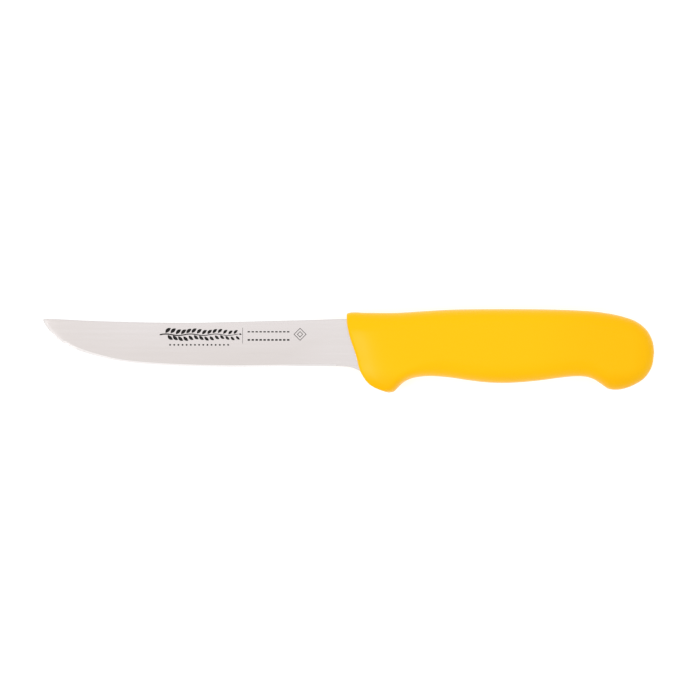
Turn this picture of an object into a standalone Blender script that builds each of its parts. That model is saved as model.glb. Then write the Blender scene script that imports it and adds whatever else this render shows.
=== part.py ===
"""Boning knife: a stainless blade with a hidden tang, and a polypropylene handle moulded round that tang.

The knife lies on its side. +X runs from the point to the butt, +Y from the cutting edge to the spine, +Z up.
The origin is under the middle of the knife, on the surface that it lies on. Blender units are metres.
"""

import math

import bmesh
import bpy
from mathutils import Vector
from mathutils.geometry import interpolate_bezier

MM = 0.001

# Blade and tang
SPINE_THICKNESS = 2.0 * MM  # where the blade enters the handle
POINT_THICKNESS = 1.0 * MM  # of the spine, near the point
GRIND_THICKNESS = 0.44 * MM  # where the flat grind meets the sharpened bevel
HEEL_THICKNESS = 1.0 * MM  # of the lower edge at the handle, where the grind has run out
RUNOUT_START_X = -34.0 * MM
HEEL_X = -6.0 * MM  # where the sharpening stops
EDGE_THICKNESS = 0.08 * MM
BEVEL_WIDTH = 0.8 * MM  # along the straight of the edge
POINT_BEVEL_WIDTH = 1.6 * MM
SPINE_CHAMFER = 0.2 * MM
TANG_THICKNESS = 1.9 * MM
TANG_HOLE_RADIUS = 3.0 * MM
TANG_HOLES_X = (28.0 * MM, 54.0 * MM, 80.0 * MM)
TANG_HOLES_Y = 3.4 * MM
CLEARANCE = 0.3 * MM  # between the tang and its pocket in the handle

# Side outlines, in millimetres. Smooth curves run through the points.
BLADE_SPINE = [
    (-147.5, 15.1), (-146.2, 15.4), (-143, 15.35), (-124.5, 14.45), (-105, 13.85), (-90, 13.55),
    (-76, 13.5), (-60, 13.8), (-40, 14.3), (-16, 14.9), (-2, 15.4), (6, 15.4),
]
BLADE_EDGE = [
    (-147.5, 15.1), (-146.5, 12.9), (-144.8, 10.4), (-142.3, 7.6), (-139.5, 5.1), (-136.5, 3.35),
    (-131.8, 0.95), (-127, -0.85), (-121, -2.55), (-113, -4.35), (-104, -5.65), (-94, -6.5),
    (-82, -7.15), (-68, -7.6), (-54, -7.75), (-40, -7.6), (-26, -7.45), (-8, -7.4), (-2, -7.55),
    (2, -8.25), (5, -9.5),
]
TANG_UPPER = [(8.5, 14.4), (11, 11.4), (14, 10.3), (60, 9.7), (93, 9.2), (98, 8.1), (100.3, 6.1), (101, 3.4)]
TANG_LOWER = [
    (7.4, -10.5), (9.2, -9.6), (11.2, -5.4), (15, -3.4), (60, -2.8), (93, -2.4), (98, -1.3), (100.3, 0.7),
    (101, 3.4),
]
HANDLE_TOP = [
    (-0.7, 17.9), (0.2, 18.35), (8, 18.4), (24, 18.4), (37, 19.2), (49, 19.85), (72, 20.17), (95, 20.0),
    (110, 19.55), (122, 18.6), (133.3, 16.3), (139.2, 14.0), (144.15, 9.8), (146.85, 4.4), (147.5, -0.8),
]
HANDLE_UNDER = [
    (19.7, -20.17), (22.1, -19.55), (24.05, -17.6), (26.65, -15.2), (29.6, -13.6), (34.2, -12.5),
    (40.6, -12.2), (48.3, -12.75), (58, -14.15), (67, -15.2), (75.4, -15.45), (84, -15.05), (93, -14.15),
    (102.4, -12.9), (109.5, -12.25), (114.8, -12.5), (118.4, -13.65), (122, -15.95), (125.4, -18.2),
    (129, -18.75), (133.3, -18.15), (138.1, -16.3), (143, -13.0), (146.4, -7.7), (147.5, -0.8),
]
HANDLE_FRONT = [
    (-0.7, 17.9), (-0.8, 16.9), (-0.7, 13.5), (0.2, 8.6), (1.8, 3.2), (3.4, -1.2), (4.4, -5.2),
    (5.4, -9.2), (6.8, -11.9), (8.6, -14.6), (10.9, -16.75), (13.9, -18.3), (17.2, -19.5), (19.7, -20.17),
]

# Handle sections
HANDLE_THICKNESS = 22.0 * MM  # across the two flat sides
FRONT_THICKNESS = 15.0 * MM
FLARE_LENGTH = 20.0 * MM  # the sides open from the front thickness to the full one over this length
UPRIGHT_X = 44.0 * MM  # sections slant with the front up to here, and are upright from here to the butt
TAPER_START_X = 92.0 * MM  # the flat sides end here, and narrow towards the butt
TAPER_END_X = 136.0 * MM
BUTT_THICKNESS = 19.6 * MM
BUTT_ROUND = 14.0 * MM  # length over which the butt's sides round off
FRONT_EDGE_RADIUS = 0.8 * MM
ROUND_TOP = (6.0 * MM, 9.0 * MM)  # height of the rounding below the top line, at the front and along the grip
ROUND_UNDER = (7.0 * MM, 11.0 * MM)
SECTION_POWER = 2.3  # 2 is an ellipse, more is squarer

# Mesh resolution
CURVE_STEPS = 12
BLADE_STEP = 3.5 * MM
SLANTED_RINGS = 14
UPRIGHT_RINGS = 15
BUTT_RINGS = 24
ROUND_STEPS = 8
FLAT_STEPS = 7
HOLE_SEGMENTS = 32


def smooth_curve(points_mm):
    """A dense polyline in metres along a smooth Bezier curve through the points."""
    points = [Vector(point) * MM for point in points_mm]
    tangents = []
    for i, point in enumerate(points):
        before, after = points[max(i - 1, 0)], points[min(i + 1, len(points) - 1)]
        tangents.append(((point - before).normalized() + (after - point).normalized()).normalized())
    line = []
    for i in range(len(points) - 1):
        reach = (points[i + 1] - points[i]).length / 3
        leaving = points[i] + tangents[i] * reach
        arriving = points[i + 1] - tangents[i + 1] * reach
        line += interpolate_bezier(points[i], leaving, arriving, points[i + 1], CURVE_STEPS)[:-1]
    return line + [points[-1]]


def at_share(line, share):
    """The point at this share, 0 to 1, of the polyline's length."""
    lengths = [(b - a).length for a, b in zip(line, line[1:])]
    left = share * sum(lengths)
    for length, a, b in zip(lengths, line, line[1:]):
        if left <= length:
            return a.lerp(b, left / length)
        left -= length
    return line[-1].copy()


def height_at(line, x):
    """The polyline's y at this x."""
    for a, b in zip(line, line[1:]):
        if a.x <= x <= b.x:
            return a.lerp(b, (x - a.x) / (b.x - a.x)).y
    return (line[0] if x < line[0].x else line[-1]).y


def mix(a, b, share):
    return a + (b - a) * min(max(share, 0.0), 1.0)


def smooth_step(share):
    share = min(max(share, 0.0), 1.0)
    return share * share * (3 - 2 * share)


def superellipse(share):
    """The height, 0 to 1, of a rounded corner at this share of its width."""
    share = min(max(share, 0.0), 1.0)
    return (1 - (1 - share) ** SECTION_POWER) ** (1 / SECTION_POWER)


def collection(name):
    made = bpy.data.collections.new(name)
    bpy.context.scene.collection.children.link(made)
    return made


def material(name, colour, roughness, metallic):
    made = bpy.data.materials.new(name)
    made.use_nodes = True
    shader = made.node_tree.nodes["Principled BSDF"]
    shader.inputs["Base Color"].default_value = (*colour, 1.0)
    shader.inputs["Roughness"].default_value = roughness
    shader.inputs["Metallic"].default_value = metallic
    made.diffuse_color = (*colour, 1.0)
    return made


def half_loft(name, half_rings, group):
    """A solid that is symmetric about z = 0, lofted through half rings whose two ends lie on that plane."""
    bm = bmesh.new()
    rings = [[bm.verts.new(point) for point in ring] for ring in half_rings]
    for ring, following in zip(rings, rings[1:]):
        for j in range(len(ring) - 1):
            bm.faces.new((ring[j], ring[j + 1], following[j + 1], following[j]))
    for ring in (rings[0], rings[-1]):
        on_plane = [bm.verts.new((corner.co.x, corner.co.y, 0.0)) for corner in ring]
        for j in range(len(ring) - 1):
            bm.faces.new((ring[j], on_plane[j], on_plane[j + 1], ring[j + 1]))
    bmesh.ops.remove_doubles(bm, verts=bm.verts, dist=0.001 * MM)
    bmesh.ops.dissolve_degenerate(bm, edges=bm.edges, dist=0.001 * MM)
    bmesh.ops.recalc_face_normals(bm, faces=bm.faces)
    mesh = bpy.data.meshes.new(name)
    bm.to_mesh(mesh)
    bm.free()
    made = bpy.data.objects.new(name, mesh)
    group.objects.link(made)
    mirror = made.modifiers.new("mirror", "MIRROR")
    mirror.use_axis = (False, False, True)
    mirror.use_clip = True
    mirror.merge_threshold = 0.01 * MM
    return made


def subtract(target, cutter):
    cut = target.modifiers.new("cut_" + cutter.name, "BOOLEAN")
    cut.operation = "DIFFERENCE"
    cut.solver = "EXACT"
    cut.object = cutter


def as_cutter(made):
    made.hide_render = True
    made.display_type = "WIRE"
    return made


def blade_stations():
    """Places along X of the blade's sections: close together at the point, at the heel and in the shoulders."""
    tip, end = BLADE_EDGE[0][0] * MM, TANG_LOWER[-1][0] * MM
    belly, neck = -118 * MM, 17 * MM
    near_point = [mix(tip, belly, (i / 14) ** 1.7) for i in range(1, 14)]
    body = [belly + BLADE_STEP * i for i in range(int((HEEL_X - belly) / BLADE_STEP))]
    heel = [HEEL_X - 0.05 * MM, HEEL_X + 0.05 * MM]
    shoulders = [mix(HEEL_X, neck, i / 22) for i in range(2, 23)]
    tang = [mix(neck, end - 8 * MM, i / 10) for i in range(1, 11)]
    tang_end = [mix(end - 8 * MM, end, math.sin(math.radians(15 * i))) for i in range(1, 6)]
    return [tip + 0.02 * MM] + near_point + body + heel + shoulders + tang + tang_end + [end - 0.05 * MM]


def blade_half_ring(x, upper_line, lower_line, grow):
    """The section at x, from the middle of the spine down one face to the middle of the edge."""
    upper, lower = height_at(upper_line, x), height_at(lower_line, x)
    from_point = (x - BLADE_EDGE[0][0] * MM) / (HEEL_X - BLADE_EDGE[0][0] * MM)
    into_tang = smooth_step((x - 4 * MM) / (8 * MM))
    runout = smooth_step((x - RUNOUT_START_X) / -RUNOUT_START_X)
    spine_half = mix(mix(POINT_THICKNESS, SPINE_THICKNESS, from_point), TANG_THICKNESS, into_tang) / 2
    grind_half = mix(mix(GRIND_THICKNESS, HEEL_THICKNESS, runout), TANG_THICKNESS, into_tang) / 2
    height = upper - lower
    if x < HEEL_X:
        slope = (height_at(lower_line, x + MM) - height_at(lower_line, x - MM)) / (2 * MM)
        bevel = mix(POINT_BEVEL_WIDTH, BEVEL_WIDTH, 4 * from_point) * math.hypot(1, slope)
        edge_half = EDGE_THICKNESS / 2
    else:
        bevel = SPINE_CHAMFER
        grind_half -= (spine_half - grind_half) * (BEVEL_WIDTH - bevel) / max(height, BEVEL_WIDTH)
        edge_half = grind_half - 0.5 * SPINE_CHAMFER
    spine_half = mix(edge_half, spine_half, 0.5 * height / bevel)
    grind_half = mix(edge_half, grind_half, 0.6 * height / bevel)
    chamfer = min(SPINE_CHAMFER, 0.2 * height)
    bevel = min(bevel, 0.6 * height)
    return [
        (x, upper + grow, 0.0),
        (x, upper + grow, max(spine_half - chamfer, 0.5 * spine_half) + grow),
        (x, upper - chamfer + grow, spine_half + grow),
        (x, lower + bevel, grind_half + grow),
        (x, lower - grow, edge_half + grow),
        (x, lower - grow, 0.0),
    ]


def blade_shape(name, group, grow=0.0):
    """The blade and its tang in one piece. The handle's pocket is the same shape, grown by the clearance."""
    upper_line, lower_line = smooth_curve(BLADE_SPINE + TANG_UPPER), smooth_curve(BLADE_EDGE + TANG_LOWER)
    rings = [blade_half_ring(x, upper_line, lower_line, grow) for x in blade_stations()]
    if grow:
        rings.append([(x + grow, y, z) for x, y, z in rings[-1]])
    return half_loft(name, rings, group)


def round_bars(name, radius, group):
    """One upright cylinder on each anchoring hole of the tang."""
    made = []
    for i, x in enumerate(TANG_HOLES_X):
        bm = bmesh.new()
        bmesh.ops.create_cone(
            bm,
            cap_ends=True,
            segments=HOLE_SEGMENTS,
            radius1=radius,
            radius2=radius,
            depth=4 * TANG_THICKNESS,
        )
        mesh = bpy.data.meshes.new(f"{name}_{i}")
        bm.to_mesh(mesh)
        bm.free()
        bar = bpy.data.objects.new(f"{name}_{i}", mesh)
        bar.location = (x, TANG_HOLES_Y, 0.0)
        group.objects.link(bar)
        made.append(as_cutter(bar))
    return made


def handle_stations():
    """(x on the top line, x on the underside, distance from the front, bow) of each section of the handle.

    The bow is how much of the front's curve the section takes.
    """
    front, guard, butt = HANDLE_TOP[0][0] * MM, HANDLE_UNDER[0][0] * MM, HANDLE_TOP[-1][0] * MM
    reach = UPRIGHT_X - (front + guard) / 2
    edge = FRONT_EDGE_RADIUS / reach
    shares = [edge * (1 - math.cos(math.radians(22.5 * i))) for i in range(5)]
    shares += [mix(edge, 1.0, (i / SLANTED_RINGS) ** 1.2) for i in range(1, SLANTED_RINGS)]
    stations = []
    for share in shares:
        stations.append((mix(front, UPRIGHT_X, share), mix(guard, UPRIGHT_X, share), share * reach, 1 - share))
    upright = [mix(UPRIGHT_X, TAPER_START_X, i / UPRIGHT_RINGS) for i in range(UPRIGHT_RINGS)]
    upright += [mix(TAPER_START_X, butt, 1 - (1 - i / BUTT_RINGS) ** 1.7) for i in range(BUTT_RINGS + 1)]
    return stations + [(x, x, x, 0.0) for x in upright]


def handle_half_thickness(x, from_front):
    """Half the handle's thickness in the middle of its sides."""
    flare = (1 - min(from_front / FLARE_LENGTH, 1.0)) ** 2.5
    half = mix(HANDLE_THICKNESS, FRONT_THICKNESS, flare) / 2
    taper = smooth_step((x - TAPER_START_X) / (TAPER_END_X - TAPER_START_X))
    half -= taper * (HANDLE_THICKNESS - BUTT_THICKNESS) / 2
    if from_front < FRONT_EDGE_RADIUS:
        left = FRONT_EDGE_RADIUS - from_front
        half -= FRONT_EDGE_RADIUS - math.sqrt(FRONT_EDGE_RADIUS**2 - left**2)
    return half * superellipse((HANDLE_TOP[-1][0] * MM - x) / BUTT_ROUND)


def section_places(length, round_top, round_under):
    """(share of the way down, share of the full half thickness) round one side of a section."""
    angles = [math.pi / 2 * i / ROUND_STEPS for i in range(ROUND_STEPS)]
    downs = [1 - math.cos(angle) ** (2 / SECTION_POWER) for angle in angles]
    places = [(down * round_top / length, superellipse(down)) for down in downs]
    for i in range(FLAT_STEPS + 1):
        places.append((mix(round_top, length - round_under, i / FLAT_STEPS) / length, 1.0))
    return places + [(1 - down * round_under / length, superellipse(down)) for down in reversed(downs)]


def handle_half_ring(station, top_line, under_line, front_line):
    """One section of the handle."""
    top_x, under_x, from_front, bow = station
    top = Vector((top_x, height_at(top_line, top_x)))
    under = Vector((under_x, height_at(under_line, under_x)))
    length = max((top - under).length, 0.001 * MM)
    grip = smooth_step(from_front / UPRIGHT_X)
    round_top = min(mix(*ROUND_TOP, grip), 0.5 * length)
    round_under = min(mix(*ROUND_UNDER, grip), 0.5 * length)
    half = handle_half_thickness((top_x + under_x) / 2, from_front)
    ring = []
    for down, out in section_places(length, round_top, round_under):
        place = top.lerp(under, down)
        if bow:
            chord = front_line[0].lerp(front_line[-1], down)
            place += bow * bow * (at_share(front_line, down) - chord)
        ring.append((place.x, place.y, half * out))
    return ring


def handle_shape(name, group):
    lines = smooth_curve(HANDLE_TOP), smooth_curve(HANDLE_UNDER), smooth_curve(HANDLE_FRONT)
    return half_loft(name, [handle_half_ring(station, *lines) for station in handle_stations()], group)


def main():
    for old in list(bpy.data.objects):
        bpy.data.objects.remove(old, do_unlink=True)
    parts, cutters = collection("boning_knife"), collection("cutters")

    blade = blade_shape("blade", parts)
    blade.data.materials.append(material("satin_stainless", (0.78, 0.74, 0.72), 0.3, 1.0))
    holes = round_bars("tang_hole", TANG_HOLE_RADIUS, cutters)
    for hole in holes:
        subtract(blade, hole)

    pocket = as_cutter(blade_shape("tang_pocket", cutters, grow=CLEARANCE))
    pegs = round_bars("peg", TANG_HOLE_RADIUS - CLEARANCE, cutters)
    for peg in pegs:
        subtract(pocket, peg)

    handle = handle_shape("handle", parts)
    handle.data.materials.append(material("yellow_polypropylene", (0.95, 0.58, 0.01), 0.4, 0.0))
    subtract(handle, pocket)

    for made in (blade, handle, pocket, *holes, *pegs):
        made.location.z = HANDLE_THICKNESS / 2
        made.data.shade_smooth()
        made.data.set_sharp_from_angle(angle=math.radians(30))


main()
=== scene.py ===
"""Boning knife: the visual model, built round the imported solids.

The knife lies on its side. +X runs from the point to the butt, +Y from the cutting edge to the spine, +Z up.
Lists of points are in millimetres, everything else is in metres unless a comment says otherwise.
"""

import math

import bmesh
import bpy
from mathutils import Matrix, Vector
from mathutils.geometry import interpolate_bezier


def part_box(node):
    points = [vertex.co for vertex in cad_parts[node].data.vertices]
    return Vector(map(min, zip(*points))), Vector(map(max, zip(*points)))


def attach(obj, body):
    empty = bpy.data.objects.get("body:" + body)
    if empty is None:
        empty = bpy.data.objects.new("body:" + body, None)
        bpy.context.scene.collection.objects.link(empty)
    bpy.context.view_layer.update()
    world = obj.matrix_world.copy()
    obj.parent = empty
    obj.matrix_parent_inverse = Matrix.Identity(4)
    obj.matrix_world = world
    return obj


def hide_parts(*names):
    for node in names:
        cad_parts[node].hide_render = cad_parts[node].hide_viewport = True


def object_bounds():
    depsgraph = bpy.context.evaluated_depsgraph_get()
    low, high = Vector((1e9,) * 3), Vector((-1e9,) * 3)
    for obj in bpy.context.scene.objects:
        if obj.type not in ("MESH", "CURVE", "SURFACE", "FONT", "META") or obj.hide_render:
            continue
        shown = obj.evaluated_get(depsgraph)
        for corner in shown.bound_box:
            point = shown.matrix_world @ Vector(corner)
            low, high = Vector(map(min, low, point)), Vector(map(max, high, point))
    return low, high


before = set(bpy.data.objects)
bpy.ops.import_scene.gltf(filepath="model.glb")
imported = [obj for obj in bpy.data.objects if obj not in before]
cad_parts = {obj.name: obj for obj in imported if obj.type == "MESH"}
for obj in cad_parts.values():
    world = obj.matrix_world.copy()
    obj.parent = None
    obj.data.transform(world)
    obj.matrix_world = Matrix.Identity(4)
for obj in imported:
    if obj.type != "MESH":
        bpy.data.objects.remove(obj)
cad_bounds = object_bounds()

MM = 0.001
TINY = 0.001 * MM  # points this close together are one point
SLIVER = 0.005 * MM  # triangles narrower than this are dissolved

blade_low, blade_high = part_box("blade")
handle_low, handle_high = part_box("handle")
MID_Z = (handle_low.z + handle_high.z) / 2  # the blade lies in the middle of the handle's thickness

# Blade and tang
SPINE_THICKNESS = blade_high.z - blade_low.z  # where the blade enters the handle
POINT_THICKNESS = 1.0 * MM  # of the spine, near the point
POINT_GRIND_THICKNESS = 0.28 * MM  # where the flat grind meets the sharpened bevel, at the point
GRIND_THICKNESS = 0.44 * MM  # the same along the straight of the edge
HEEL_THICKNESS = 1.0 * MM  # of the lower edge at the handle, where the grind has run out
RUNOUT_START_X = -34.0 * MM
HEEL_X = -6.0 * MM  # where the sharpening stops
HEEL_STEP = 0.02 * MM  # on each side of the heel, between the section with the bevel and the one without
EDGE_THICKNESS = 0.04 * MM
BEVEL_WIDTH = 0.8 * MM  # along the straight of the edge
POINT_BEVEL_WIDTH = 1.5 * MM
WIDE_BEVEL_LENGTH = 36.0 * MM  # along X, over which the bevel narrows behind the point
BEVEL_OVERRUN = 4.0 * MM  # the bevel's upper side is carried on this far past the point, above the spine
FACE_SLOPE = 0.03  # the most that half the thickness grows from the bevel up to the spine, near the point
SPINE_ROUNDING = 0.2 * MM
MOST_ROUNDING = 0.2  # of the section's height, where the blade is low
TANG_THICKNESS = 1.9 * MM
TANG_BLEND_X = 4.0 * MM  # here the blade's thickness starts to turn into the tang's
TANG_BLEND_LENGTH = 8.0 * MM
TANG_HOLE_RADIUS = 3.0 * MM
TANG_HOLES_X = (28.0 * MM, 54.0 * MM, 80.0 * MM)
TANG_HOLES_Y = 3.4 * MM
FIT = 0.02 * MM  # the plastic is moulded tight on the steel

# Side outlines, in millimetres. Smooth curves run through the points.
BLADE_SPINE = [
    (-147.5, 15.1), (-146.2, 15.4), (-143, 15.35), (-124.5, 14.45), (-105, 13.85), (-90, 13.55),
    (-76, 13.5), (-60, 13.8), (-40, 14.3), (-16, 14.9), (-2, 15.4), (6, 15.4),
]
BLADE_EDGE = [
    (-147.5, 15.1), (-146.5, 12.9), (-144.8, 10.4), (-142.3, 7.6), (-139.5, 5.1), (-136.5, 3.35),
    (-131.8, 0.95), (-127, -0.85), (-121, -2.55), (-113, -4.35), (-104, -5.65), (-94, -6.5),
    (-82, -7.15), (-68, -7.6), (-54, -7.75), (-40, -7.6), (-26, -7.45), (-8, -7.4), (-2, -7.55),
    (2, -8.25), (5, -9.5),
]
TANG_UPPER = [
    (8.5, 14.4), (11, 11.4), (14, 10.3), (60, 9.7), (93, 9.2), (98, 8.1), (100.3, 6.1), (101, 3.4),
]
TANG_LOWER = [
    (7.4, -10.5), (9.2, -9.6), (11.2, -5.4), (15, -3.4), (60, -2.8), (93, -2.4), (98, -1.3), (100.3, 0.7),
    (101, 3.4),
]
HANDLE_TOP = [
    (-0.7, 17.9), (0.2, 18.35), (8, 18.4), (24, 18.4), (37, 19.2), (49, 19.85), (72, 20.17), (95, 20.0),
    (110, 19.55), (122, 18.6), (133.3, 16.3), (139.2, 14.0), (144.15, 9.8), (146.85, 4.4), (147.5, -0.8),
]
HANDLE_UNDER = [
    (19.7, -20.17), (22.1, -19.55), (24.05, -17.6), (26.65, -15.2), (29.6, -13.6), (34.2, -12.5),
    (40.6, -12.2), (48.3, -12.75), (58, -14.15), (67, -15.2), (75.4, -15.45), (84, -15.05), (93, -14.15),
    (102.4, -12.9), (109.5, -12.25), (114.8, -12.5), (118.4, -13.65), (122, -15.95), (125.4, -18.2),
    (129, -18.75), (133.3, -18.15), (138.1, -16.3), (143, -13.0), (146.4, -7.7), (147.5, -0.8),
]
HANDLE_FRONT = [
    (-0.7, 17.9), (-0.8, 16.9), (-0.7, 13.5), (0.2, 8.6), (1.8, 3.2), (3.4, -1.2), (4.4, -5.2),
    (5.4, -9.2), (6.8, -11.9), (8.6, -14.6), (10.9, -16.75), (13.9, -18.3), (17.2, -19.5), (19.7, -20.17),
]

# Handle sections
HANDLE_THICKNESS = handle_high.z - handle_low.z  # across the two flat sides
FRONT_THICKNESS = 15.0 * MM
FLARE_LENGTH = 20.0 * MM  # the sides open from the front thickness to the full one over this length
FLARE_POWER = 2.5  # over 1, the sides open fastest at the front
UPRIGHT_X = 44.0 * MM  # sections slant with the front up to here, and are upright from here to the butt
TAPER_START_X = 92.0 * MM  # the flat sides end here, and narrow towards the butt
TAPER_END_X = 136.0 * MM
BUTT_THICKNESS = 19.6 * MM
BUTT_ROUND = 14.0 * MM  # length over which the butt's sides round off
FRONT_EDGE_RADIUS = 0.8 * MM
ROUND_TOP = (9.0 * MM, 9.0 * MM)  # height of the rounding below the top line, at the front and along the grip
ROUND_UNDER = (4.5 * MM, 10.5 * MM)
MOST_CORNER = 0.49  # of the section's height, where the handle is low
SECTION_POWER = 2.3  # 2 is an ellipse, more is squarer
PARTING_HEIGHT = 0.06 * MM  # of the fine ridge that the two halves of the mould leave round the outline
PARTING_HALF_WIDTH = 0.12 * MM
PARTING_FOOT = 1.7  # the ridge's half width at its foot, in half widths of its crest
MOST_PARTING = 0.02  # of the section's height and half thickness, where it is small
GATE_RADIUS = 2.1 * MM  # of the shallow recess at the butt where the plastic was fed in
GATE_DEPTH = 0.45 * MM
CUTTER_LENGTH = 2.0 * MM  # of the cylinder that cuts the recess, from its floor out of the butt
SPRUE_RADIUS = 0.9 * MM  # of the stub that the sprue left in the recess
SPRUE_HEIGHT = 0.43 * MM

# Mesh resolution. A crowding over 1 draws sections or points together at one end.
CURVE_STEPS = 24
BLADE_STEP = 1.5 * MM
BELLY_X = -118.0 * MM  # the blade's sections are crowded in front of this
POINT_STEPS = 40
POINT_CROWDING = 1.7
POINT_INSET = 0.02 * MM  # from the very point to the first section
NECK_X = 17.0 * MM  # the tang's shoulders lie in front of this
NECK_STEPS = 44
TANG_STEPS = 16
TANG_END_LENGTH = 8.0 * MM
TANG_END_STEPS = 10
TANG_END_INSET = 0.05 * MM
FACE_ROWS = 6
SPINE_CORNER_DEGREES = (90, 60, 30, 0)
SLANTED_RINGS = 44
SLANTED_CROWDING = 1.2
FRONT_EDGE_STEPS = 10
UPRIGHT_RINGS = 34
BUTT_RINGS = 60
BUTT_CROWDING = 1.7
ROUND_STEPS = 20
ROUND_CROWDING = 1.4
FLAT_STEPS = 12
CIRCLE_SEGMENTS = 48
FLOOR_SEGMENTS = 64
BLADE_SHARP_DEGREES = 4  # steeper edges than this are shaded sharp
HANDLE_SHARP_DEGREES = 32

# Printed mark: how far its plates stand out of the steel and reach into it
MARK_PROUD = 0.008 * MM
MARK_SUNK = 0.02 * MM

# The mark's drawing, in millimetres
STEM_START = -91.0
STEM_END = -53.0
STEM_Y = 7.8
STEM_WAVE_HEIGHT = 0.35
STEM_WAVE_LENGTH = 12
STEM_HALF_WIDTHS = (0.32, 0.14)  # at its two ends
STEM_STEPS = 60
STEPS_PER_LEAF = 4
LEAF_ANGLE = math.radians(62)
LEAF_BEND = 0.35  # radians, from root to tip
LEAF_STEPS = 8
LEAF_FULLNESS = 0.8  # under 1 is fuller than a sine
LEAF_TIP_HALF_WIDTH = 0.03
LEAF_SHRINK = 0.72  # size of the leaves at the end of the stem
LEAF_RISE = 0.5  # from the stem's middle to a leaf's root
UPPER_LEAF = (0.3, 3.5, 0.88)  # distance along the stem, length and half width
LOWER_LEAF = (1.4, 3.3, 0.84)
LAST_LEAF = (0.15, 1.4, 0.4)
LAST_LEAF_ANGLE = math.radians(8)
DOTS_X = range(-86, -57, 2)
DOTS_Y = 2.9
DOT_REACH = 0.55
DOT_HALF_WIDTHS = (0.05, 0.5, 0.05)
DIVIDER = [(-51.0, 3.6), (-51.0, 11.2)]
DIVIDER_HALF_WIDTH = 0.085
DASHES = 11
DASH_START = -48.6
DASH_PITCH = 1.9
DASH_LENGTH = 1.2
DASH_ROWS = ((9.2, 0.3), (5.3, 0.4))  # height of the row, half width of its dashes
LOZENGE_CENTRE = (-23.3, 8.0)
LOZENGE_REACHES = (3.1, 1.5)  # of the outer one and the inner one
LOZENGE_WIDTH = 0.38

# Colours: the two tones that each material varies between
# between the steel's tones lie its grinding streaks and a painted reflection, lighter towards the spine and
# the heel
STEEL_TONES = (0.562, 0.520, 0.504), (0.610, 0.574, 0.569)
# the bevel's bright tone is a painted reflection
BEVEL_TONES = (0.59, 0.56, 0.55), (1.0, 0.965, 0.955)
INK_TONES = (0.006, 0.005, 0.0045), (0.015, 0.013, 0.012)
# the deeper yellow serves both the flow's random tone and painted shade at the butt and underneath
YELLOW_TONES = (0.955, 0.522, 0.002), (0.915, 0.462, 0.0)
WHITE = (1.0, 1.0, 1.0, 1.0)
FLOOR_GREY = (0.5, 0.5, 0.5, 1.0)

# Studio
FLOOR_RADIUS = 3.0
FLOOR_GAP = 0.05 * MM  # keeps the floor from lying in the same plane as the handle's side
FLOOR_GLOW = (0.66, 0.3)  # under the knife, and far from it
FLOOR_FADE = (0.3, 0.7 * FLOOR_RADIUS)  # the glow fades between these distances
SKY_LEVELS = (0.72, 0.92)  # at the horizon, and overhead
SKY_FULL = 0.7  # sine of the height at which the sky reaches its overhead level
SLANT_LEVELS = (0.93, 1.16)  # of the sky past the edge, and past the spine
OVERHEAD_DIRECTION = (0.08, 0, 1)
OVERHEAD_SPREAD = math.radians(36)
OVERHEAD_LEVEL = 0.36
SOFTBOX_DIRECTION = (-0.43, -0.18, 0.88)
SOFTBOX_DISTANCE = 1.1
SOFTBOX_SIZE = 0.18
SOFTBOX_RADIANCE = 25.0

# Camera
LENS_MM = 200.0
SENSOR_MM = 36.0
FRAME_WIDTH = 337.8 * MM  # at the blade's height
AIM = (0.8 * MM, 0.43 * MM)


# ---------------------------------------------------------------- curves and small formulas


def smooth_curve(points_mm):
    """A dense polyline in metres along a smooth Bezier curve through the points."""
    points = [Vector(point) * MM for point in points_mm]
    tangents = []
    for i, point in enumerate(points):
        before, after = points[max(i - 1, 0)], points[min(i + 1, len(points) - 1)]
        tangents.append(((point - before).normalized() + (after - point).normalized()).normalized())
    line = []
    for i in range(len(points) - 1):
        reach = (points[i + 1] - points[i]).length / 3
        leaving = points[i] + tangents[i] * reach
        arriving = points[i + 1] - tangents[i + 1] * reach
        line += interpolate_bezier(points[i], leaving, arriving, points[i + 1], CURVE_STEPS)[:-1]
    return line + [points[-1]]


def at_share(line, share):
    """The point at this share, 0 to 1, of the polyline's length."""
    lengths = [(b - a).length for a, b in zip(line, line[1:])]
    left = share * sum(lengths)
    for length, a, b in zip(lengths, line, line[1:]):
        if left <= length:
            return a.lerp(b, left / length)
        left -= length
    return line[-1].copy()


def height_at(line, x):
    """The polyline's y at this x."""
    for a, b in zip(line, line[1:]):
        if a.x <= x <= b.x:
            return a.lerp(b, (x - a.x) / (b.x - a.x)).y
    return (line[0] if x < line[0].x else line[-1]).y


def mix(a, b, share):
    return a + (b - a) * min(max(share, 0.0), 1.0)


def smooth_step(share):
    share = min(max(share, 0.0), 1.0)
    return share * share * (3 - 2 * share)


def superellipse(share):
    """The height, 0 to 1, of a rounded corner at this share of its width."""
    share = min(max(share, 0.0), 1.0)
    return (1 - (1 - share) ** SECTION_POWER) ** (1 / SECTION_POWER)


# ---------------------------------------------------------------- mesh helpers


def new_object(name, bm):
    mesh = bpy.data.meshes.new(name)
    bm.to_mesh(mesh)
    bm.free()
    made = bpy.data.objects.new(name, mesh)
    bpy.context.scene.collection.objects.link(made)
    return made


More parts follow.
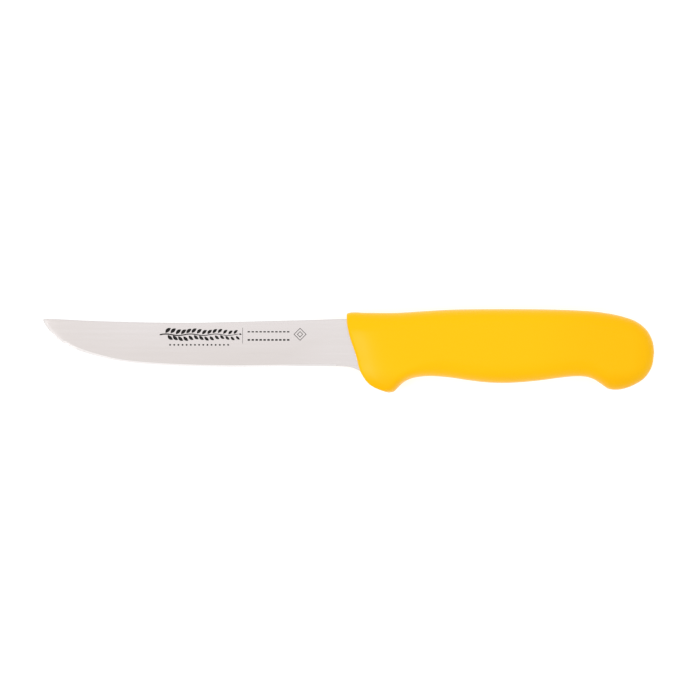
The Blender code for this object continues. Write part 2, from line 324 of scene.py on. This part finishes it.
def loft(name, half_rings, second_slot_strip=None):
    """A closed solid through half rings mirrored about the mid-plane.

    second_slot_strip is the lengthwise strip, on both sides, that takes the second material slot.
    """
    bm = bmesh.new()
    rings = []
    for half_ring in half_rings:
        mirrored = [(x, y, -z) for x, y, z in reversed(half_ring[1:-1])]
        rings.append([bm.verts.new((x, y, z + MID_Z)) for x, y, z in half_ring + mirrored])
    count = len(rings[0])
    for ring, following in zip(rings, rings[1:]):
        for j in range(count):
            k = (j + 1) % count
            face = bm.faces.new((ring[j], ring[k], following[k], following[j]))
            if min(j, count - 1 - j) == second_slot_strip:
                face.material_index = 1
    for ring in (rings[0], rings[-1]):
        for j in range(len(half_rings[0]) - 1):
            corners = [ring[j], ring[j + 1], ring[count - j - 1], ring[-j]]
            bm.faces.new(sorted(set(corners), key=corners.index))
    bmesh.ops.remove_doubles(bm, verts=bm.verts, dist=TINY)
    bmesh.ops.dissolve_degenerate(bm, edges=bm.edges, dist=TINY)
    bmesh.ops.recalc_face_normals(bm, faces=bm.faces)
    return new_object(name, bm)


def cylinder(name, centre, radius, depth, along_x=False):
    bm = bmesh.new()
    bmesh.ops.create_cone(
        bm,
        cap_ends=True,
        segments=CIRCLE_SEGMENTS,
        radius1=radius,
        radius2=radius,
        depth=depth,
    )
    made = new_object(name, bm)
    made.rotation_euler.y = math.pi / 2 if along_x else 0.0
    made.location = centre
    return made


def combine(target, tools, operation):
    """Cuts the tools out of the target, or joins them to it, and keeps only the target."""
    for tool in tools:
        step = target.modifiers.new(tool.name, "BOOLEAN")
        step.operation = operation
        step.solver = "EXACT"
        step.object = tool
    graph = bpy.context.evaluated_depsgraph_get()
    result = bpy.data.meshes.new_from_object(target.evaluated_get(graph))
    bm = bmesh.new()
    bm.from_mesh(result)
    bmesh.ops.dissolve_degenerate(bm, edges=bm.edges, dist=SLIVER)
    bmesh.ops.triangulate(bm, faces=[face for face in bm.faces if len(face.verts) > 4])
    bm.to_mesh(result)
    bm.free()
    target.modifiers.clear()
    target.data = result
    for tool in tools:
        bpy.data.objects.remove(tool, do_unlink=True)


def shade(target, sharp_degrees):
    target.data.shade_smooth()
    target.data.set_sharp_from_angle(angle=math.radians(sharp_degrees))


# ---------------------------------------------------------------- blade


def bevel_top(edge_line):
    """Where the bevel meets the flat of the blade."""
    line = []
    for place, following in zip(edge_line, edge_line[1:]):
        along = (following - place).normalized()
        width = mix(POINT_BEVEL_WIDTH, BEVEL_WIDTH, (place.x - edge_line[0].x) / WIDE_BEVEL_LENGTH)
        line.append(place + width * Vector((-along.y, along.x)))
    return [line[0] - BEVEL_OVERRUN * (edge_line[1] - edge_line[0]).normalized()] + line


class BladeSection:
    """The sizes of the blade's or tang's cross section at one x."""

    point_x = BLADE_EDGE[0][0] * MM
    upper_line = smooth_curve(BLADE_SPINE + TANG_UPPER)
    lower_line = smooth_curve(BLADE_EDGE + TANG_LOWER)
    bevel_line = bevel_top(smooth_curve(BLADE_EDGE))

    def __init__(self, x):
        self.upper, self.lower = height_at(self.upper_line, x), height_at(self.lower_line, x)
        self.height = self.upper - self.lower
        self.rounding = min(SPINE_ROUNDING, MOST_ROUNDING * self.height)
        from_point = x - self.point_x
        painted_reflection_to_heel = from_point / (HEEL_X - self.point_x)
        into_tang = smooth_step((x - TANG_BLEND_X) / TANG_BLEND_LENGTH)
        runout = smooth_step((x - RUNOUT_START_X) / -RUNOUT_START_X)
        spine = mix(mix(POINT_THICKNESS, SPINE_THICKNESS, painted_reflection_to_heel), TANG_THICKNESS, into_tang)
        grind = mix(POINT_GRIND_THICKNESS, GRIND_THICKNESS, from_point / WIDE_BEVEL_LENGTH)
        grind = mix(mix(grind, HEEL_THICKNESS, runout), TANG_THICKNESS, into_tang)
        self.spine_half, self.grind_half = spine / 2, grind / 2
        if x < HEEL_X:
            full_bevel = height_at(self.bevel_line, x) - self.lower
            self.edge_half = EDGE_THICKNESS / 2
            self.grind_half = mix(self.edge_half, self.grind_half, self.height / full_bevel)
            self.bevel = min(full_bevel, self.height - self.rounding)
            self.spine_half = min(self.spine_half, self.grind_half + FACE_SLOPE * (self.height - self.bevel))
        else:
            self.bevel = SPINE_ROUNDING
            taper = (self.spine_half - self.grind_half) / self.height
            self.grind_half -= taper * (BEVEL_WIDTH - self.bevel)
            self.edge_half = self.grind_half - SPINE_ROUNDING / 2

    def half_ring(self, x, grow):
        """Points from the middle of the spine down one face to the middle of the edge."""
        shoulder = max(self.spine_half - self.rounding, self.spine_half / 2)
        ring = [(x, self.upper + grow, 0.0)]
        for degrees in SPINE_CORNER_DEGREES:
            up, out = math.sin(math.radians(degrees)), math.cos(math.radians(degrees))
            y = self.upper - self.rounding * (1 - up) + grow
            ring.append((x, y, mix(shoulder, self.spine_half, out) + grow))
        face_top, face_bottom = self.upper - self.rounding + grow, self.lower + self.bevel
        for row in range(1, FACE_ROWS + 1):
            share = row / FACE_ROWS
            ring.append((x, mix(face_top, face_bottom, share), self.face_half(share) + grow))
        ring.append((x, self.lower - grow, self.edge_half + grow))
        return ring + [(x, self.lower - grow, 0.0)]

    def face_half(self, share):
        """Half the thickness at this share of the way from the spine down to the sharpened bevel."""
        return mix(self.spine_half, self.grind_half, share)


# In the half ring, the strip between the last point of the face and the edge
BEVEL_STRIP = len(SPINE_CORNER_DEGREES) + FACE_ROWS


def blade_stations():
    """Places along X of the blade's sections, close together at the point, the heel and the shoulders."""
    end = TANG_LOWER[-1][0] * MM
    tang_end_x = end - TANG_END_LENGTH
    turns = [math.radians(90 * i / TANG_END_STEPS) for i in range(1, TANG_END_STEPS)]
    places = [BladeSection.point_x + POINT_INSET]
    for i in range(1, POINT_STEPS):
        places.append(mix(BladeSection.point_x, BELLY_X, (i / POINT_STEPS) ** POINT_CROWDING))
    places += [BELLY_X + BLADE_STEP * i for i in range(int((HEEL_X - BELLY_X) / BLADE_STEP))]
    places += [HEEL_X - HEEL_STEP, HEEL_X + HEEL_STEP]
    places += [mix(HEEL_X, NECK_X, i / NECK_STEPS) for i in range(2, NECK_STEPS + 1)]
    places += [mix(NECK_X, tang_end_x, i / TANG_STEPS) for i in range(1, TANG_STEPS + 1)]
    places += [mix(tang_end_x, end, math.sin(turn)) for turn in turns]
    return places + [end - TANG_END_INSET]


def blade_shape(name, grow=0.0):
    """The blade with its tang, or the pocket round them, larger all round by grow."""
    rings = [BladeSection(x).half_ring(x, grow) for x in blade_stations()]
    if grow:
        rings.append([(x + grow, y, z) for x, y, z in rings[-1]])
        return loft(name, rings)
    return loft(name, rings, BEVEL_STRIP)


def tang_bars(name, radius):
    """Round bars where the tang's holes are."""
    depth = 4 * TANG_THICKNESS
    places = [(x, TANG_HOLES_Y, MID_Z) for x in TANG_HOLES_X]
    return [cylinder(f"{name}_{i}", place, radius, depth) for i, place in enumerate(places)]


def make_blade():
    blade = blade_shape("ground_blade")
    for steel in (satin_steel(), bevel_steel()):
        blade.data.materials.append(steel)
    combine(blade, tang_bars("tang_hole", TANG_HOLE_RADIUS), "DIFFERENCE")
    shade(blade, BLADE_SHARP_DEGREES)
    return blade


# ---------------------------------------------------------------- handle


def handle_stations():
    """(x on the top line, x on the underside, distance from the front, bow) of each section of the handle."""
    front, guard, butt = HANDLE_TOP[0][0] * MM, HANDLE_UNDER[0][0] * MM, HANDLE_TOP[-1][0] * MM
    reach = UPRIGHT_X - (front + guard) / 2
    edge = FRONT_EDGE_RADIUS / reach
    turns = [math.radians(90 * i / FRONT_EDGE_STEPS) for i in range(FRONT_EDGE_STEPS + 1)]
    shares = [edge * (1 - math.cos(turn)) for turn in turns]
    shares += [mix(edge, 1.0, (i / SLANTED_RINGS) ** SLANTED_CROWDING) for i in range(1, SLANTED_RINGS)]
    stations = []
    for share in shares:
        top_x, under_x = mix(front, UPRIGHT_X, share), mix(guard, UPRIGHT_X, share)
        stations.append((top_x, under_x, share * reach, 1 - share))
    upright = [mix(UPRIGHT_X, TAPER_START_X, i / UPRIGHT_RINGS) for i in range(UPRIGHT_RINGS)]
    for i in range(BUTT_RINGS + 1):
        upright.append(mix(TAPER_START_X, butt, 1 - (1 - i / BUTT_RINGS) ** BUTT_CROWDING))
    return stations + [(x, x, x, 0.0) for x in upright]


def handle_half_thickness(x, from_front):
    """Half the handle's thickness in the middle of its sides."""
    flare = (1 - min(from_front / FLARE_LENGTH, 1.0)) ** FLARE_POWER
    half = mix(HANDLE_THICKNESS, FRONT_THICKNESS, flare) / 2
    taper = smooth_step((x - TAPER_START_X) / (TAPER_END_X - TAPER_START_X))
    half -= taper * (HANDLE_THICKNESS - BUTT_THICKNESS) / 2
    if from_front < FRONT_EDGE_RADIUS:
        left = FRONT_EDGE_RADIUS - from_front
        half -= FRONT_EDGE_RADIUS - math.sqrt(FRONT_EDGE_RADIUS**2 - left**2)
    return half * superellipse((HANDLE_TOP[-1][0] * MM - x) / BUTT_ROUND)


def corner_places(length, rounding, half):
    """(share of the way down, share of the half thickness) from the parting line round one corner."""
    ridge = min(PARTING_HEIGHT / length, MOST_PARTING)
    ridge_out = min(PARTING_HALF_WIDTH / max(half, MM), MOST_PARTING)
    places = [(0.0, 0.0), (0.0, ridge_out), (ridge, PARTING_FOOT * ridge_out)]
    for i in range(2, ROUND_STEPS + 1):
        angle = math.pi / 2 * (i / ROUND_STEPS) ** ROUND_CROWDING
        down = 1 - math.cos(angle) ** (2 / SECTION_POWER)
        out = math.sin(angle) ** (2 / SECTION_POWER)
        places.append((ridge + down * (rounding / length - ridge), out))
    return places


def handle_half_ring(station, top_line, under_line, front_line):
    """Points from the top parting line down one side to the parting line underneath."""
    top_x, under_x, from_front, bow = station
    top = Vector((top_x, height_at(top_line, top_x)))
    under = Vector((under_x, height_at(under_line, under_x)))
    length = max((top - under).length, TINY)
    grip = smooth_step(from_front / UPRIGHT_X)
    round_top = min(mix(*ROUND_TOP, grip), MOST_CORNER * length)
    round_under = min(mix(*ROUND_UNDER, grip), MOST_CORNER * length)
    half = handle_half_thickness((top_x + under_x) / 2, from_front)
    places = corner_places(length, round_top, half)
    flat = [mix(round_top, length - round_under, i / FLAT_STEPS) / length for i in range(1, FLAT_STEPS)]
    places += [(down, 1.0) for down in flat]
    places += [(1 - up, out) for up, out in reversed(corner_places(length, round_under, half))]
    ring = []
    for down, out in places:
        place = top.lerp(under, down)
        if bow:
            chord = front_line[0].lerp(front_line[-1], down)
            place += bow * bow * (at_share(front_line, down) - chord)
        ring.append((place.x, place.y, half * out))
    return ring


def make_handle():
    lines = smooth_curve(HANDLE_TOP), smooth_curve(HANDLE_UNDER), smooth_curve(HANDLE_FRONT)
    handle = loft("moulded_handle", [handle_half_ring(station, *lines) for station in handle_stations()])
    handle.data.materials.append(yellow_plastic())
    pocket = blade_shape("tang_pocket", grow=FIT)
    combine(pocket, tang_bars("peg", TANG_HOLE_RADIUS - FIT), "DIFFERENCE")
    butt_x, butt_y = (value * MM for value in HANDLE_TOP[-1])
    floor_x = butt_x - GATE_DEPTH
    recess_at = (floor_x + CUTTER_LENGTH / 2, butt_y, MID_Z)
    recess = cylinder("gate_recess", recess_at, GATE_RADIUS, CUTTER_LENGTH, along_x=True)
    combine(handle, [pocket, recess], "DIFFERENCE")
    sprue = cylinder("sprue", (floor_x, butt_y, MID_Z), SPRUE_RADIUS, 2 * SPRUE_HEIGHT, along_x=True)
    combine(handle, [sprue], "UNION")
    shade(handle, HANDLE_SHARP_DEGREES)
    return handle


# ---------------------------------------------------------------- printed mark, drawn in millimetres


def face_height(x, y):
    """The height, in metres, of the blade's upper face at this place in metres."""
    section = BladeSection(x)
    top, bottom = section.upper - section.rounding, section.lower + section.bevel
    return MID_Z + section.face_half((top - y) / (top - bottom))


def add_band(bm, first_side, second_side, closed=False):
    """A thin closed plate on the blade's face between two outlines of as many points."""
    columns = []
    for a, b in zip(first_side, second_side):
        column = []
        for x, y in (a, b):
            x, y = x * MM, y * MM
            base = face_height(x, y)
            column += [bm.verts.new((x, y, base + MARK_PROUD)), bm.verts.new((x, y, base - MARK_SUNK))]
        columns.append(column)
    pairs = list(zip(columns, columns[1:] + columns[:1])) if closed else list(zip(columns, columns[1:]))
    for (top_a, low_a, top_b, low_b), (top_c, low_c, top_d, low_d) in pairs:
        bm.faces.new((top_a, top_b, top_d, top_c))
        bm.faces.new((low_a, low_c, low_d, low_b))
        bm.faces.new((top_a, top_c, low_c, low_a))
        bm.faces.new((top_b, low_b, low_d, top_d))
    if not closed:
        for top_a, low_a, top_b, low_b in (columns[0], columns[-1]):
            bm.faces.new((top_a, low_a, low_b, top_b))


def add_stroke(bm, centre_line, half_widths):
    """A stroke of changing width along a line."""
    left, right = [], []
    for i, (x, y) in enumerate(centre_line):
        before, after = centre_line[max(i - 1, 0)], centre_line[min(i + 1, len(centre_line) - 1)]
        along = Vector((after[0] - before[0], after[1] - before[1])).normalized()
        left.append((x - along.y * half_widths[i], y + along.x * half_widths[i]))
        right.append((x + along.y * half_widths[i], y - along.x * half_widths[i]))
    add_band(bm, left, right)


def add_leaf(bm, root, angle, length, half_width):
    """A pointed oval leaf that bends a little towards its tip."""
    line, widths = [], []
    for i in range(LEAF_STEPS + 1):
        share = i / LEAF_STEPS
        bend = angle - LEAF_BEND * share * math.copysign(1, angle)
        line.append((root[0] + length * share * math.cos(bend), root[1] + length * share * math.sin(bend)))
        widths.append(max(half_width * math.sin(math.pi * share) ** LEAF_FULLNESS, LEAF_TIP_HALF_WIDTH))
    add_stroke(bm, line, widths)


def add_sprig(bm):
    """A wavy stem with pairs of leaves that grow smaller towards its end."""
    stem, widths = [], []
    for i in range(STEM_STEPS + 1):
        x = mix(STEM_START, STEM_END, i / STEM_STEPS)
        wave = math.sin((x - STEM_START) * 2 * math.pi / STEM_WAVE_LENGTH)
        stem.append((x, STEM_Y + STEM_WAVE_HEIGHT * wave))
        widths.append(mix(*STEM_HALF_WIDTHS, i / STEM_STEPS))
    add_stroke(bm, stem, widths)
    for i in range(STEPS_PER_LEAF, STEM_STEPS - 2, STEPS_PER_LEAF):
        x, y = stem[i]
        size = mix(1.0, LEAF_SHRINK, i / STEM_STEPS)
        for side, (ahead, length, half_width) in ((1, UPPER_LEAF), (-1, LOWER_LEAF)):
            root = (x + ahead, y + side * LEAF_RISE)
            add_leaf(bm, root, side * LEAF_ANGLE, length * size, half_width * size)
    ahead, length, half_width = LAST_LEAF
    add_leaf(bm, (STEM_END + ahead, stem[-1][1]), LAST_LEAF_ANGLE, length, half_width)


def add_lozenge(bm, centre, reach, width):
    """The outline of a lozenge."""
    turns = [math.radians(90 * i) for i in range(4)]
    sides = []
    for r in (reach, reach - width):
        sides.append([(centre[0] + r * math.cos(turn), centre[1] + r * math.sin(turn)) for turn in turns])
    add_band(bm, *sides, closed=True)


def make_mark():
    """A plain leafy sprig, rows of dots and dashes, a divider and a lozenge. It stands for no name."""
    bm = bmesh.new()
    add_sprig(bm)
    for x in DOTS_X:
        add_stroke(bm, [(x - DOT_REACH, DOTS_Y), (x, DOTS_Y), (x + DOT_REACH, DOTS_Y)], DOT_HALF_WIDTHS)
    add_stroke(bm, DIVIDER, [DIVIDER_HALF_WIDTH] * 2)
    for y, half_width in DASH_ROWS:
        for i in range(DASHES):
            x = DASH_START + DASH_PITCH * i
            add_stroke(bm, [(x, y), (x + DASH_LENGTH, y)], [half_width] * 2)
    for reach in LOZENGE_REACHES:
        add_lozenge(bm, LOZENGE_CENTRE, reach, LOZENGE_WIDTH)
    bmesh.ops.recalc_face_normals(bm, faces=bm.faces)
    mark = new_object("blade_mark", bm)
    mark.data.materials.append(mark_ink())
    return mark


# ---------------------------------------------------------------- materials


class Shader:
    """A material with a Principled shader, and short ways to add the nodes that feed it."""

    def __init__(self, name, constants):
        """constants gives the values of the shader's sockets that are the same all over."""
        self.material = bpy.data.materials.new(name)
        self.material.use_nodes = True
        self.nodes = self.material.node_tree.nodes
        self.links = self.material.node_tree.links
        self.principled = self.nodes["Principled BSDF"]
        for socket, value in constants.items():
            self.principled.inputs[socket].default_value = value
        self.place = self.nodes.new("ShaderNodeTexCoord").outputs["Object"]

    def noise(self, scale, stretch=(1, 1, 1), turn=0.0, detail=3.0):
        """Noise with features of about 1/scale metres, drawn out where stretch is under 1."""
        mapping = self.nodes.new("ShaderNodeMapping")
        mapping.inputs["Rotation"].default_value = (0.0, 0.0, turn)
        mapping.inputs["Scale"].default_value = stretch
        self.links.new(self.place, mapping.inputs["Vector"])
        texture = self.nodes.new("ShaderNodeTexNoise")
        texture.inputs["Scale"].default_value = scale
        texture.inputs["Detail"].default_value = detail
        self.links.new(mapping.outputs["Vector"], texture.inputs["Vector"])
        return texture.outputs["Fac"]

    def along(self, axis, start, end, low, high):
        """A smooth change from low to high between two places along an axis."""
        split = self.nodes.new("ShaderNodeSeparateXYZ")
        self.links.new(self.place, split.inputs[0])
        return self.fade(split.outputs[axis], low, high, start, end)

    def spread(self, value, low, high, from_low=0.3, from_high=0.7):
        """From low to high, as the value goes through the range that most noise stays in."""
        spread = self.nodes.new("ShaderNodeMapRange")
        spread.inputs["From Min"].default_value = from_low
        spread.inputs["From Max"].default_value = from_high
        spread.inputs["To Min"].default_value = low
        spread.inputs["To Max"].default_value = high
        self.links.new(value, spread.inputs["Value"])
        return spread.outputs["Result"]

    def fade(self, value, low, high, from_low, from_high):
        """As spread, with a smooth start and end."""
        change = self.spread(value, low, high, from_low, from_high)
        change.node.interpolation_type = "SMOOTHSTEP"
        return change

    def blend(self, share, first, second):
        blend = self.nodes.new("ShaderNodeMix")
        blend.data_type = "RGBA"
        blend.inputs["A"].default_value = (*first, 1.0)
        blend.inputs["B"].default_value = (*second, 1.0)
        self.links.new(share, blend.inputs["Factor"])
        return blend.outputs["Result"]

    def join(self, operation, first, second):
        node = self.nodes.new("ShaderNodeMath")
        node.operation = operation
        self.links.new(first, node.inputs[0])
        self.links.new(second, node.inputs[1])
        return node.outputs["Value"]

    def bump(self, height, distance):
        bump = self.nodes.new("ShaderNodeBump")
        bump.inputs["Strength"].default_value = 1.0
        bump.inputs["Distance"].default_value = distance
        self.links.new(height, bump.inputs["Height"])
        self.links.new(bump.outputs["Normal"], self.principled.inputs["Normal"])

    def feed(self, name, value):
        self.links.new(value, self.principled.inputs[name])


def satin_steel():
    """Ground and polished lengthwise: fine lines along X, a few broad streaks; darker towards the edge by
    painted reflection.
    """
    shader = Shader("satin_steel", {"Metallic": 1.0})
    fine = shader.noise(9000, stretch=(0.008, 1, 1))
    broad = shader.noise(1100, stretch=(0.012, 1, 1))
    cloud = shader.noise(28, stretch=(0.6, 1, 1))
    streaks = shader.join("ADD", shader.spread(broad, 0.0, 0.24), shader.spread(cloud, 0.0, 0.12))
    lines = shader.join("ADD", streaks, shader.spread(fine, -0.2, 0.2))
    # painted reflection: lighter up the face towards the spine behind the point, and lighter towards the heel
    painted_reflection_up_face = shader.along("Y", -7 * MM, 14 * MM, 0.0, 0.65)
    painted_reflection_past_point = shader.along("X", -150 * MM, -95 * MM, 0.0, 1.0)
    painted_reflection_to_spine = shader.join("MULTIPLY", painted_reflection_up_face, painted_reflection_past_point)
    painted_reflection_to_heel = shader.along("X", -40 * MM, -5 * MM, 0.0, 0.5)
    # tone is the streaks plus the painted reflection
    tone = shader.join("ADD", lines, shader.join("MAXIMUM", painted_reflection_to_spine, painted_reflection_to_heel))
    shader.feed("Base Color", shader.blend(tone, *STEEL_TONES))
    gloss = shader.join("ADD", shader.spread(fine, 0.11, 0.15), shader.spread(broad, 0.0, 0.02))
    shader.feed("Roughness", gloss)
    shader.bump(fine, 0.001 * MM)
    return shader.material


def bevel_steel():
    """The sharpened bevel: brighter by painted reflection, less so at the point; short scratches across it
    from the sharpening belt.
    """
    shader = Shader("bevel_steel", {"Metallic": 1.0})
    scratches = shader.noise(6000, stretch=(1, 0.06, 0.06), turn=math.radians(20))
    # painted reflection: the bevel grows lighter away from the point
    painted_reflection_past_point = shader.along("X", -138 * MM, -108 * MM, 0.0, 0.85)
    # tone is the scratches plus the painted reflection
    tone = shader.join("ADD", shader.spread(scratches, 0.0, 0.15), painted_reflection_past_point)
    shader.feed("Base Color", shader.blend(tone, *BEVEL_TONES))
    shader.feed("Roughness", shader.spread(scratches, 0.08, 0.13))
    shader.bump(scratches, 0.0003 * MM)
    return shader.material


def mark_ink():
    """Black ink, slightly worn."""
    shader = Shader("mark_ink", {"Specular IOR Level": 0.12})
    wear = shader.noise(2500)
    shader.feed("Base Color", shader.blend(shader.spread(wear, 0.0, 1.0), *INK_TONES))
    shader.feed("Roughness", shader.spread(wear, 0.38, 0.52))
    return shader.material


def yellow_plastic():
    """Moulded polypropylene with a fine, soft grain; painted shade makes it deeper in colour at the butt and
    under the guard.
    """
    shader = Shader("yellow_polypropylene", {"Specular IOR Level": 0.08})
    grain = shader.noise(2600, detail=2.0)
    flow = shader.noise(22, stretch=(0.5, 1, 1), detail=2.0)
    # painted shade: a deeper orange towards the butt and towards the underside
    painted_shade_to_butt = shader.along("X", 80 * MM, 132 * MM, 0.0, 0.47)
    painted_shade_underneath = shader.along("Y", -8 * MM, -19 * MM, 0.0, 0.8)
    # depth adds this painted shade to the flow's random tone
    depth = shader.join("ADD", shader.spread(flow, 0.0, 0.08), shader.join("ADD", painted_shade_to_butt, painted_shade_underneath))
    shader.feed("Base Color", shader.blend(depth, *YELLOW_TONES))
    gloss = shader.join("ADD", shader.spread(grain, 0.24, 0.30), shader.spread(flow, 0.0, 0.03))
    shader.feed("Roughness", gloss)
    shader.bump(grain, 0.005 * MM)
    return shader.material


def floor_paper():
    """Matt paper that glows evenly under the knife and less far from it."""
    constants = {
        "Base Color": FLOOR_GREY,
        "Roughness": 0.9,
        "Specular IOR Level": 0.0,
        "Emission Color": WHITE,
    }
    shader = Shader("floor_paper", constants)
    distance = shader.nodes.new("ShaderNodeVectorMath")
    distance.operation = "LENGTH"
    shader.links.new(shader.place, distance.inputs[0])
    shader.feed("Emission Strength", shader.fade(distance.outputs["Value"], *FLOOR_GLOW, *FLOOR_FADE))
    return shader.material


# ---------------------------------------------------------------- studio


def make_floor():
    """A round light table."""
    bm = bmesh.new()
    bmesh.ops.create_circle(bm, cap_ends=True, segments=FLOOR_SEGMENTS, radius=FLOOR_RADIUS)
    floor = new_object("floor", bm)
    floor.location.z = cad_bounds[0][2] - FLOOR_GAP
    floor.data.materials.append(floor_paper())


def make_world():
    """A studio tent: brightest straight above, dimmer at the horizon, a little brighter past the spine."""
    world = bpy.data.worlds.new("studio")
    world.use_nodes = True
    bpy.context.scene.world = world
    nodes, links = world.node_tree.nodes, world.node_tree.links
    direction = nodes.new("ShaderNodeTexCoord").outputs["Generated"]

    def towards(axis, from_low, from_high, low, high):
        """A smooth change from low to high as the direction turns towards the axis."""
        dot = nodes.new("ShaderNodeVectorMath")
        dot.operation = "DOT_PRODUCT"
        dot.inputs[1].default_value = Vector(axis).normalized()
        links.new(direction, dot.inputs[0])
        change = nodes.new("ShaderNodeMapRange")
        change.interpolation_type = "SMOOTHSTEP"
        ends = {"From Min": from_low, "From Max": from_high, "To Min": low, "To Max": high}
        for socket, value in ends.items():
            change.inputs[socket].default_value = value
        links.new(dot.outputs["Value"], change.inputs["Value"])
        return change.outputs["Result"]

    def join(operation, first, second):
        node = nodes.new("ShaderNodeMath")
        node.operation = operation
        links.new(first, node.inputs[0])
        links.new(second, node.inputs[1])
        return node.outputs["Value"]

    sky = towards((0, 0, 1), 0.0, SKY_FULL, *SKY_LEVELS)
    slant = towards((0, 1, 0), -1.0, 1.0, *SLANT_LEVELS)
    overhead = towards(OVERHEAD_DIRECTION, math.cos(OVERHEAD_SPREAD), 1.0, 0.0, OVERHEAD_LEVEL)
    level = join("ADD", join("MULTIPLY", sky, slant), overhead)
    links.new(level, nodes["Background"].inputs["Strength"])
    nodes["Background"].inputs["Color"].default_value = WHITE


def make_softbox():
    """A round softbox past the point of the blade, which puts a soft glow on the front of the handle."""
    data = bpy.data.lights.new("softbox", "AREA")
    data.shape = "DISK"
    data.size = SOFTBOX_SIZE
    data.energy = SOFTBOX_RADIANCE * math.pi * math.pi * (SOFTBOX_SIZE / 2) ** 2
    softbox = bpy.data.objects.new("softbox", data)
    softbox.location = SOFTBOX_DISTANCE * Vector(SOFTBOX_DIRECTION).normalized()
    softbox.rotation_euler = Vector(SOFTBOX_DIRECTION).to_track_quat("Z", "Y").to_euler()
    bpy.context.scene.collection.objects.link(softbox)


def make_camera():
    """A long lens straight above the knife."""
    data = bpy.data.cameras.new("camera")
    data.lens = LENS_MM
    data.sensor_width = SENSOR_MM
    camera = bpy.data.objects.new("camera", data)
    camera.location = (*AIM, MID_Z + FRAME_WIDTH * LENS_MM / SENSOR_MM)
    bpy.context.scene.collection.objects.link(camera)
    bpy.context.scene.camera = camera


# ---------------------------------------------------------------- the knife

blade = make_blade()
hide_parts("blade")
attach(blade, "root")

handle = make_handle()
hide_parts("handle")
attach(handle, "root")

mark = make_mark()
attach(mark, "root")

make_floor()
make_world()
make_softbox()
make_camera()
bpy.context.scene.view_settings.view_transform = "Standard"
